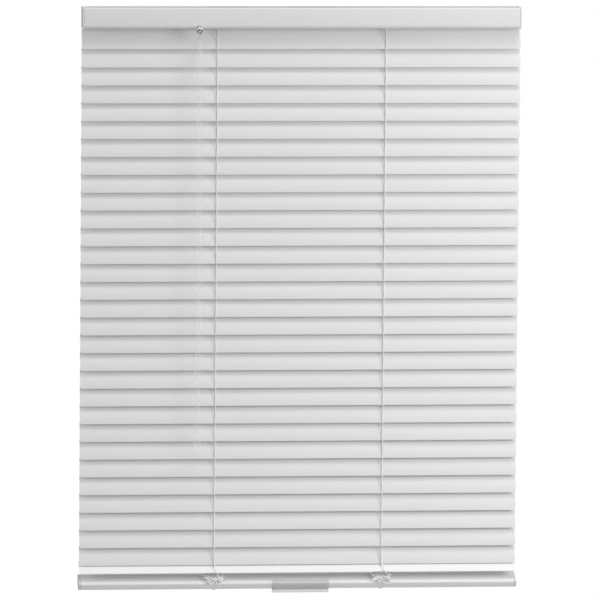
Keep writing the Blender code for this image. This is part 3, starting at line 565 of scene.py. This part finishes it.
def make_headrail():
    """The rolled channel, with an opening over each ladder, the cord slot and the stem's hole."""
    low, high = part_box("headrail")
    stations = [low[0] + (high[0] - low[0]) * step / 24 for step in range(25)]
    form = swept(headrail_section(), stations, False)
    middle = Vector((0, AXIS_Y, 0))
    if sum((face.calc_center_median() - middle).dot(face.normal) for face in form.faces) < 0:
        bmesh.ops.reverse_faces(form, faces=form.faces)
    cutters = []
    for label, side in SIDES:
        (left, front), (right, back) = LADDER_OPENING
        shape = oblong((side * LADDER_X + left, front), (side * LADDER_X + right, back), OPENING_CORNER)
        cutters.append(cutter(f"ladder_opening_{label}", shape))
    cutters.append(cutter("cord_slot", oblong(*CORD_SLOT, CORD_SLOT_CORNER)))
    lean = Vector((0, math.sin(STEM_LEAN), math.cos(STEM_LEAN)))
    bore_line = [STEM_END + lean * STEM_BORE_DEPTH * share for share in (0, 0.5, 1)]
    bore = tube(bore_line, STEM_BORE_RADIUS, 24)
    cutters.append(cutter("stem_opening", bore))
    steps = [("SOLIDIFY", {"thickness": HEADRAIL_WALL, "offset": -1, "use_even_offset": True})]
    steps += [("BOOLEAN", {"operation": "DIFFERENCE", "solver": "EXACT", "object": tool}) for tool in cutters]
    data = worked("headrail_channel", form, steps)
    for tool in cutters:
        bpy.data.objects.remove(tool, do_unlink=True)
    smooth(data)
    piece("headrail_channel", data, PAINT, "headrail", ("headrail",))


# ---- slats ----------------------------------------------------------------------------------
def slat_columns():
    """Places along a slat: close together at its round corners and its slots."""
    half = SLAT_LENGTH / 2
    corner = [half - SLAT_CORNER * (1 - math.cos(math.radians(15 * step))) for step in range(7)]
    columns = set()
    for side in (-1, 1):
        columns.update(side * x for x in corner)
        columns.update(side * LADDER_X + offset for offset in (-SLOT_HALF_WIDTH, 0, SLOT_HALF_WIDTH))
    spans = 22
    least_gap = 0.004
    for step in range(1, spans):
        x = -half + 2 * half * step / spans
        if all(abs(x - other) > least_gap for other in columns):
            columns.add(x)
    return sorted(columns)


def slat_rows():
    """Places across a slat, with one at each end of the slots and more near the edges."""
    half_rows = [0.0, 0.0016, 0.0032, 0.0045, 0.0051, 0.0057, SLOT_HALF_LENGTH]
    half_rows += [0.0076, 0.0092, 0.0107, 0.0118, SLAT_HALF]
    return sorted({-row for row in half_rows} | set(half_rows))


def slat_place(x, row):
    """Where a point belongs along a slat: moved in at the ends of a slot, so that they are round."""
    offset = abs(x) - LADDER_X
    past = abs(row) - (SLOT_HALF_LENGTH - SLOT_HALF_WIDTH)
    on_side = abs(abs(offset) - SLOT_HALF_WIDTH) < SLOT_HALF_WIDTH * 0.1
    in_end = 0 < past < SLOT_HALF_WIDTH * 1.01
    if not (on_side and in_end):
        return x
    narrow = max(math.sqrt(max(0.0, SLOT_HALF_WIDTH ** 2 - past ** 2)), SLOT_HALF_WIDTH * 0.3)
    return math.copysign(LADDER_X + math.copysign(narrow, offset), x)


def slat_form(twist):
    """A crowned sheet with round corners and two slots, and a small twist at each place along it."""
    columns = slat_columns()
    rows = slat_rows()
    form = bmesh.new()
    grid = []
    for x in columns:
        inset = SLAT_LENGTH / 2 - abs(x)
        half = SLAT_HALF
        if inset < SLAT_CORNER:
            half += math.sqrt(max(0.0, SLAT_CORNER ** 2 - (SLAT_CORNER - inset) ** 2)) - SLAT_CORNER
        turn = twist(x)
        line = []
        for row in rows:
            across = row * half / SLAT_HALF
            up = SLAT_CROWN * (1 - (across / SLAT_HALF) ** 2) - SLAT_DROP
            line.append(form.verts.new((
                slat_place(x, row),
                across * math.cos(turn) - up * math.sin(turn),
                across * math.sin(turn) + up * math.cos(turn),
            )))
        grid.append(line)
    for index, (x_left, x_right) in enumerate(zip(columns, columns[1:])):
        in_slot_x = abs(abs((x_left + x_right) / 2) - LADDER_X) < SLOT_HALF_WIDTH
        left, right = grid[index], grid[index + 1]
        for low, (row_low, row_high) in enumerate(zip(rows, rows[1:])):
            if in_slot_x and abs((row_low + row_high) / 2) < SLOT_HALF_LENGTH:
                continue
            form.faces.new((left[low], right[low], right[low + 1], left[low + 1]))
    bmesh.ops.delete(form, geom=[v for v in form.verts if not v.link_faces], context="VERTS")
    bmesh.ops.remove_doubles(form, verts=form.verts, dist=0.000001)
    return form


def make_slats(chance):
    """Every slat hangs a little off true, as real ones do."""
    for index in range(SLAT_COUNT):
        last = index == SLAT_COUNT - 1
        name = f"slat_{index + 1:02d}"
        z = LAST_SLAT_Z if last else FIRST_SLAT_Z - index * SLAT_PITCH
        if index == 0:
            z += FIRST_SLAT_LIFT
        tilt = LAST_SLAT_TILT if last else SLAT_TILT
        lean = math.radians(chance.uniform(-SLAT_LEAN, SLAT_LEAN))
        wave = math.radians(chance.uniform(*SLAT_WAVE))
        phase = chance.uniform(0, 2 * math.pi)
        length = chance.uniform(*SLAT_WAVE_LENGTH)

        def twist(x):
            return lean + wave * math.sin(2 * math.pi * x / length + phase)

        form = slat_form(twist)
        data = worked(f"vinyl_{name}", form, [("SOLIDIFY", {"thickness": SLAT_THICKNESS, "offset": 0})])
        data.transform(Matrix.Translation((0, AXIS_Y, z)) @ Matrix.Rotation(tilt, 4, "X"))
        smooth(data, 50)
        piece(f"vinyl_{name}", data, VINYL, name, (name,))
        make_rungs(name, z, tilt)


def make_rungs(slat, z, tilt):
    """The thread of each ladder under a slat, from one upright to the other."""
    gap = 0.0001
    level = -SLAT_DROP - SLAT_THICKNESS / 2 - RUNG_RADIUS - gap
    places = (-RUNG_REACH, -RUNG_REACH / 3, RUNG_REACH / 3, RUNG_REACH)
    home = Matrix.Translation((0, AXIS_Y, z)) @ Matrix.Rotation(tilt, 4, "X")
    for label, side in SIDES:
        points = [home @ Vector((side * LADDER_X, across, level)) for across in places]
        cord(f"rung_{label}_{slat}", points, RUNG_RADIUS, CORD, slat, per_span=2)


# ---- ladders --------------------------------------------------------------------------------
def wavy(x, y, top, bottom, chance):
    """Points down a strand that wanders a little between its straight ends."""
    count = round((top - bottom) / STRAND_STEP)
    straight = 3
    points = []
    for step in range(count + 1):
        z = top + (bottom - top) * step / count
        free = min(step, count - step) > straight
        shift = chance.uniform(-STRAND_SWAY, STRAND_SWAY) if free else 0.0
        points.append((x + shift, y, z))
    return points


def make_ladders(chance):
    """Each upright in three stretches: at the drum, past the slats, and down to the rail."""
    thin = STRAND_RADIUS * 0.8
    top_levels = (DRUM_Z, -0.010, -0.024, STRAND_TOP_END)
    for label, side in SIDES:
        x = side * LADDER_X
        top = cord(
            f"ladder_{label}_front_top", [(x, FRONT_STRAND_Y, z) for z in top_levels],
            STRAND_RADIUS, CORD, "front_strands",
        )
        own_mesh(top)
        cord(
            f"ladder_{label}_front_main", wavy(x, FRONT_STRAND_Y, STRAND_TOP_END, FRONT_MAIN_END, chance),
            STRAND_RADIUS, CORD, "front_strands", (f"ladder_{label}_front",), 3,
        )
        low = [(x + STRAND_BEND[label] * share, y, z) for share, y, z in FRONT_FOOT]
        cord(f"ladder_{label}_front_low", low, STRAND_RADIUS, CORD, "lift_cords")
        cord(
            f"ladder_{label}_rear_top", [(x, REAR_STRAND_Y, z) for z in top_levels],
            thin, CORD, "headrail", per_span=3,
        )
        start = STRAND_TOP_END + STRAND_TRAVEL
        cord(
            f"ladder_{label}_rear_main", wavy(x, REAR_STRAND_Y, start, REAR_MAIN_END, chance),
            STRAND_RADIUS, CORD, "rear_strands", (f"ladder_{label}_rear",), 3,
        )
        low = [(x, y, z) for y, z in REAR_FOOT]
        cord(f"ladder_{label}_rear_low", low, thin, CORD, "lift_cords")


def make_lift_cords():
    """Each lift cord: a still run in the headrail, and the hanging part that lifts the rail."""
    steps = 60
    fall = RAIL_Z + FALL_FOOT - FALL_TOP
    slimmer = 0.97              # so that the fall slides inside the end of the run
    for label, side in SIDES:
        stands_for = (f"lift_cord_{label}",)
        x = side * LADDER_X
        tangent = AXIS_Y + side * (SPOOL_RADIUS + LIFT_CORD_RADIUS + CLEARANCE)
        reach = x - side * RUN_TURN_IN
        points = [(SPOOL_X, tangent, RUN_Z)]
        for share in (0.25, 0.5, 0.75, 1.0):
            points.append((SPOOL_X + (reach - SPOOL_X) * share, tangent + (AXIS_Y - tangent) * share, RUN_Z))
        for step in range(5):
            angle = math.radians(90 * step / 4)
            across = x - side * RUN_BEND * (1 - math.sin(angle))
            points.append((across, AXIS_Y, RUN_Z - RUN_BEND * (1 - math.cos(angle))))
        points += [(x, AXIS_Y, -0.009), (x, AXIS_Y, RUN_END)]
        cord(f"lift_cord_{label}_run", points, LIFT_CORD_RADIUS, LIFT_CORD, "headrail", stands_for, 3)
        points = [(x, AXIS_Y, FALL_TOP + fall * step / steps) for step in range(steps + 1)]
        radius = LIFT_CORD_RADIUS * slimmer
        cord(f"lift_cord_{label}_fall", points, radius, LIFT_CORD, "lift_cords", stands_for, 1)


# ---- wand -----------------------------------------------------------------------------------
def make_wand():
    """A clear cup round the knob, which holds the wand by its top, and the wand with its round tip."""
    bore = math.hypot(KNOB_RADIUS, KNOB_HALF) + CLEARANCE
    skirt = WAND_RADIUS + CLEARANCE
    wall = SLEEVE_WALL
    taper = 0.001
    rim = 0.0002
    wand_top = SLEEVE_FLOOR - SLEEVE_WALL - 2 * CLEARANCE
    profile = [(0, SLEEVE_FLOOR), (bore - SLEEVE_ROUND, SLEEVE_FLOOR)]
    profile += arc((bore - SLEEVE_ROUND, SLEEVE_FLOOR + SLEEVE_ROUND), SLEEVE_ROUND, -90, 0, 5)
    profile += [(bore, 0.0), (bore + wall / 2, rim), (bore + wall, 0.0)]
    profile += [(bore + wall, SLEEVE_FLOOR + taper), (skirt + wall, SLEEVE_FLOOR - taper)]
    profile += [(skirt + wall, SLEEVE_FOOT), (skirt, SLEEVE_FOOT)]
    profile += [(skirt, wand_top + CLEARANCE), (0, wand_top + CLEARANCE)]
    data = worked("clear_sleeve", turned(profile, 40))
    data.transform(Matrix.Translation(STEM_END))
    smooth(data)
    piece("clear_sleeve", data, CLEAR_ROD, "wand_sleeve", ("wand_sleeve",))

    tip = wand_top - WAND_LENGTH
    chamfer = 0.0006
    profile = [(0, wand_top), (WAND_RADIUS - chamfer, wand_top), (WAND_RADIUS, wand_top - chamfer)]
    profile += [(WAND_RADIUS, wand_top + (tip - wand_top) * share) for share in (0.25, 0.5, 0.75)]
    swell = 12
    for step in range(swell + 1):
        share = step / swell
        ease = share * share * (3 - 2 * share)
        radius = WAND_RADIUS + (WAND_TIP_RADIUS - WAND_RADIUS) * ease
        profile.append((radius, tip + WAND_TIP_LENGTH + WAND_SWELL * (1 - share)))
    for step in range(9):
        angle = math.radians(90 * step / 8)
        profile.append((WAND_TIP_RADIUS * math.cos(angle), tip + WAND_TIP_RADIUS * (1 - math.sin(angle))))
    data = worked("clear_wand", turned(profile, 32))
    data.transform(Matrix.Translation(STEM_END))
    smooth(data)
    piece("clear_wand", data, CLEAR_ROD, "wand", ("wand",))


def make_stem_end():
    """The open ring on the knob at the stem's end, round a light plug."""
    home = Matrix.Translation(STEM_END) @ Matrix.Rotation(-STEM_LEAN, 4, "X")
    face = -KNOB_HALF
    raised = face - 0.0002
    level = face + 0.0001
    sunk = face + 0.0008
    profile = [(0, raised), (PLUG_RADIUS - 0.0005, raised), (PLUG_RADIUS, level)]
    profile += [(PLUG_RADIUS, sunk), (0, sunk)]
    data = worked("knob_plug", turned(profile, 24))
    data.transform(home)
    smooth(data)
    piece("knob_plug", data, MOULDED, "tilt_worm", ())

    around = KNOB_RADIUS - RING_THICKNESS
    points = []
    for step in range(25):
        angle = math.radians(RING_START + RING_SWEEP * step / 24)
        points.append(home @ Vector((around * math.cos(angle), around * math.sin(angle), level)))
    cord("stem_ring", points, RING_THICKNESS, DARK_STEEL, "tilt_worm", per_span=2)


# ---- bottom rail ----------------------------------------------------------------------------
def rail_frame():
    """From the rail's own level section to its place in the blind."""
    return Matrix.Translation((0, AXIS_Y, RAIL_Z)) @ Matrix.Rotation(RAIL_TILT, 4, "X")


def rail_section():
    """A flat, grooved top with rounded edges on a rounded underside."""
    corner = RAIL_CORNER
    points = arc((RAIL_HALF - corner, RAIL_TOP - corner), corner, 0, 90, 6)
    pitch = 2 * (RAIL_HALF - corner) / (RAIL_GROOVES + 1)
    for groove in range(RAIL_GROOVES):
        middle = RAIL_HALF - corner - pitch * (groove + 1)
        for step in range(7):
            share = step / 6
            level = RAIL_TOP - GROOVE_DEPTH * math.sin(math.pi * share)
            points.append((middle + GROOVE_HALF - 2 * GROOVE_HALF * share, level))
    points += arc((-RAIL_HALF + corner, RAIL_TOP - corner), corner, 90, 180, 6)
    for step in range(1, 24):
        angle = math.pi + math.pi * step / 24
        points.append((RAIL_HALF * math.cos(angle), RAIL_SHOULDER + RAIL_BELLY * math.sin(angle)))
    return points


def make_bottom_rail():
    """The hollow rail, open at its ends where the caps are."""
    stations = [-RAIL_HALF_LENGTH + RAIL_HALF_LENGTH * step / 12 for step in range(25)]
    form = swept(rail_section(), stations, True)
    steps = [("SOLIDIFY", {"thickness": RAIL_WALL, "offset": -1})]
    data = worked("rail_profile", form, steps)
    data.transform(rail_frame())
    smooth(data, 28)
    piece("rail_profile", data, RAIL_VINYL, "bottom_rail", ("bottom_rail",))


def make_handle():
    """A thin grip hooked over the rail's front edge, with a round finger lip along its foot."""
    half = RAIL_HALF + CLEARANCE
    belly = RAIL_BELLY + CLEARANCE
    top = RAIL_TOP + CLEARANCE
    hook = -half + HANDLE_HOOK
    inner = [(hook, top)] + [(-half + y, top + z) for y, z in HANDLE_INNER]
    outer = [(hook, top + HANDLE_WALL)] + [(-half + y, top + z) for y, z in HANDLE_OUTER]
    lip = arc(HANDLE_LIP, HANDLE_LIP_RADIUS, 112, 356, 28)
    for step in range(15):
        angle = math.pi + math.radians(5 * step)
        inner.append((half * math.cos(angle), RAIL_SHOULDER + belly * math.sin(angle)))
        across = (half + HANDLE_WALL) * math.cos(angle)
        up = RAIL_SHOULDER + (belly + HANDLE_WALL) * math.sin(angle)
        if math.dist((across, up), HANDLE_LIP) > HANDLE_LIP_RADIUS * 1.1:
            outer.append((across, up))
        elif lip:
            outer += lip
            lip = []
    stations = [HANDLE_X + HANDLE_WIDTH * (step / 10 - 0.5) for step in range(11)]
    form = swept(inner + outer[::-1], stations, True, True)
    softened = {"width": 0.0003, "segments": 2, "limit_method": "ANGLE", "angle_limit": math.radians(50)}
    data = worked("clear_handle", form, [("BEVEL", softened)])
    data.transform(rail_frame())
    smooth(data)
    piece("clear_handle", data, CLEAR_GRIP, "bottom_rail", ("lift_handle",))


def make_clip(label, side, chance):
    """The clear clip on the rail, with its round button, and the ladder's slack tucked under it."""
    x = side * LADDER_X
    under = RAIL_TOP + CLEARANCE
    upper = under + CLIP_THICKNESS
    edge = CLIP_EDGE
    outline = arc((CLIP_BACK, upper - edge), edge, 0, 90, 4)
    outline += arc((CLIP_FRONT, upper - edge), edge, 90, 180, 4)
    outline += arc((CLIP_FRONT, under + edge / 3), edge, 180, 225, 2)
    outline += [(CLIP_FRONT, under), (CLIP_BACK, under)]
    stations = [x + CLIP_WIDTH * (step / 8 - 0.5) for step in range(9)]
    data = worked(f"clip_plate_{label}", swept(outline, stations, True, True))
    data.transform(rail_frame())
    smooth(data)
    piece(f"clip_plate_{label}", data, CLEAR_CLIP, "bottom_rail", (f"ladder_clip_{label}",))

    belly = RAIL_SHOULDER - RAIL_BELLY
    seat = belly - CLEARANCE
    profile = [(0, belly - BUTTON_DEPTH), (0.0020, belly - 0.0021), (0.0034, belly - 0.0017)]
    profile += [(BUTTON_RADIUS, belly - 0.0010), (BUTTON_RADIUS, belly - 0.0004)]
    profile += [(BUTTON_RADIUS - 0.0005, seat), (BUTTON_STEM, seat), (BUTTON_STEM, under), (0, under)]
    data = worked(f"clip_button_{label}", turned(profile, 32))
    data.transform(rail_frame() @ Matrix.Translation((x, 0, 0)))
    smooth(data)
    piece(f"clip_button_{label}", data, CLEAR_CLIP, "bottom_rail", (f"ladder_clip_{label}",))

    home = rail_frame()
    wander_x = 0.0022
    wander_y = 0.0012
    droop_start, droop = SLACK_DROOP
    for loop in range(SLACK_LOOPS):
        points = []
        share = loop / (SLACK_LOOPS - 1)
        spread_half = SLACK_SPREAD[0] + SLACK_SPREAD[1] * share
        depth = SLACK_DEPTH[0] + SLACK_DEPTH[1] * share
        for step in range(SLACK_POINTS):
            run = 2 * step / (SLACK_POINTS - 1) - 1
            across = x + spread_half * run + chance.uniform(-wander_x, wander_x)
            height = upper + edge + chance.uniform(0, SLACK_HEIGHT)
            back = depth + chance.uniform(-wander_y, wander_y)
            height -= max(0, droop_start - back) * droop
            points.append(home @ Vector((across, back, height)))
        made = cord(f"slack_{label}_{loop + 1}", points, SLACK_RADIUS, CORD, "bottom_rail", per_span=5)
        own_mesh(made)


# ---- assembly -------------------------------------------------------------------------------
chance = random.Random(31)
make_headrail()
make_slats(chance)
make_ladders(chance)
make_lift_cords()
make_wand()
make_stem_end()
make_bottom_rail()
make_handle()
for label, side in SIDES:
    make_clip(label, side, chance)

restyle(PAINT, "headrail_cap_left", "headrail_cap_right")
restyle(MOULDED, "bottom_cap_left", "bottom_cap_right")
restyle(MOULDED, "tilt_worm", "tilter_housing")
restyle(MOULDED, "ladder_drum_left", "ladder_drum_right", "cradle_left", "cradle_right")
restyle(GREY_MOULDED, "tilt_gear", "motor_housing", "motor_drum", "storage_drum")
restyle(STEEL, "tilt_rod")
restyle(SPRING, "motor_spring")


# ---- stage ----------------------------------------------------------------------------------
VIEW_CENTRE = Vector((0.0005, AXIS_Y, -0.3408))
VIEW_WIDTH = 0.7219             # what the frame spans at the slats
VIEW_DISTANCE = 9.5
VIEW_LEFT = math.radians(6.2)   # the camera stands to the left of the front
VIEW_ABOVE = math.radians(6.6)
VIEW_ROLL = math.radians(-0.48)
FLOOR_Z = -1.10
FLOOR_HALF = 0.8
BACKDROP = 1.0
AMBIENT = (0.13, 0.58)          # from below and from above
AMBIENT_BAND = 0.6              # the height of direction, down and up, that it changes over
BLIND_MIDDLE = (0, AXIS_Y, -0.34)


def make_camera():
    """A far camera a little above and to the left, framed on the blind."""
    data = bpy.data.cameras.new("camera")
    data.lens = data.sensor_width * VIEW_DISTANCE / VIEW_WIDTH
    camera = bpy.data.objects.new("camera", data)
    turn = Matrix.Rotation(-VIEW_LEFT, 4, "Z") @ Matrix.Rotation(math.radians(90) - VIEW_ABOVE, 4, "X")
    turn = turn @ Matrix.Rotation(-VIEW_ROLL, 4, "Z")
    camera.matrix_world = Matrix.Translation(VIEW_CENTRE + turn @ Vector((0, 0, VIEW_DISTANCE))) @ turn
    bpy.context.scene.collection.objects.link(camera)
    bpy.context.scene.camera = camera


def make_floor():
    """Plain pale paper, well below the blind."""
    form = bmesh.new()
    bmesh.ops.create_grid(form, x_segments=8, y_segments=8, size=FLOOR_HALF)
    data = bpy.data.meshes.new("floor")
    form.to_mesh(data)
    form.free()
    paper = grained("floor_paper", (0.76, 0.76, 0.76), (0.80, 0.80, 0.80), (0.7, 0.9), 300, 0.00002)
    data.materials.append(paper)
    floor = bpy.data.objects.new("floor", data)
    floor.location = (0, 0, FLOOR_Z)
    bpy.context.scene.collection.objects.link(floor)


def soft_lamp(name, place, target, size, power):
    """A rectangular lamp that faces its target, power in watts."""
    data = bpy.data.lights.new(name, "AREA")
    data.shape = "RECTANGLE"
    data.size, data.size_y = size
    data.energy = power
    lamp = bpy.data.objects.new(name, data)
    lamp.location = place
    lamp.rotation_euler = (Vector(target) - Vector(place)).to_track_quat("-Z", "Y").to_euler()
    bpy.context.scene.collection.objects.link(lamp)


def make_daylight(backdrop, ambient):
    """White behind the blind, and an ambient light from all round that is weaker from below."""
    world = bpy.data.worlds.new("studio")
    bpy.context.scene.world = world
    world.use_nodes = True
    tree = world.node_tree
    tree.nodes.clear()
    seen = tree.nodes.new("ShaderNodeBackground")
    seen.inputs["Strength"].default_value = backdrop
    cast = tree.nodes.new("ShaderNodeBackground")
    for node in (seen, cast):
        node.inputs["Color"].default_value = (1, 1, 1, 1)
    place = tree.nodes.new("ShaderNodeTexCoord")
    split = tree.nodes.new("ShaderNodeSeparateXYZ")
    height = tree.nodes.new("ShaderNodeMapRange")
    height.inputs["From Min"].default_value = -AMBIENT_BAND
    height.inputs["From Max"].default_value = AMBIENT_BAND
    height.inputs["To Min"].default_value = ambient[0]
    height.inputs["To Max"].default_value = ambient[1]
    tree.links.new(place.outputs["Generated"], split.inputs["Vector"])
    tree.links.new(split.outputs["Z"], height.inputs["Value"])
    tree.links.new(height.outputs["Result"], cast.inputs["Strength"])
    ray = tree.nodes.new("ShaderNodeLightPath")
    choice = tree.nodes.new("ShaderNodeMixShader")
    result = tree.nodes.new("ShaderNodeOutputWorld")
    tree.links.new(ray.outputs["Is Camera Ray"], choice.inputs["Fac"])
    tree.links.new(cast.outputs["Background"], choice.inputs[1])
    tree.links.new(seen.outputs["Background"], choice.inputs[2])
    tree.links.new(choice.outputs["Shader"], result.inputs["Surface"])


make_camera()
make_floor()
make_daylight(BACKDROP, AMBIENT)
soft_lamp("key", (0.9, -1.5, 3.7), BLIND_MIDDLE, size=(1.8, 1.2), power=66)
soft_lamp("fill", (1.15, -0.95, 0.05), BLIND_MIDDLE, size=(0.6, 0.6), power=9)
soft_lamp("left", (-1.6, -0.5, 0.3), (-0.2, AXIS_Y, -0.1), size=(0.6, 0.6), power=2.5)
bpy.context.scene.view_settings.view_transform = "Standard"
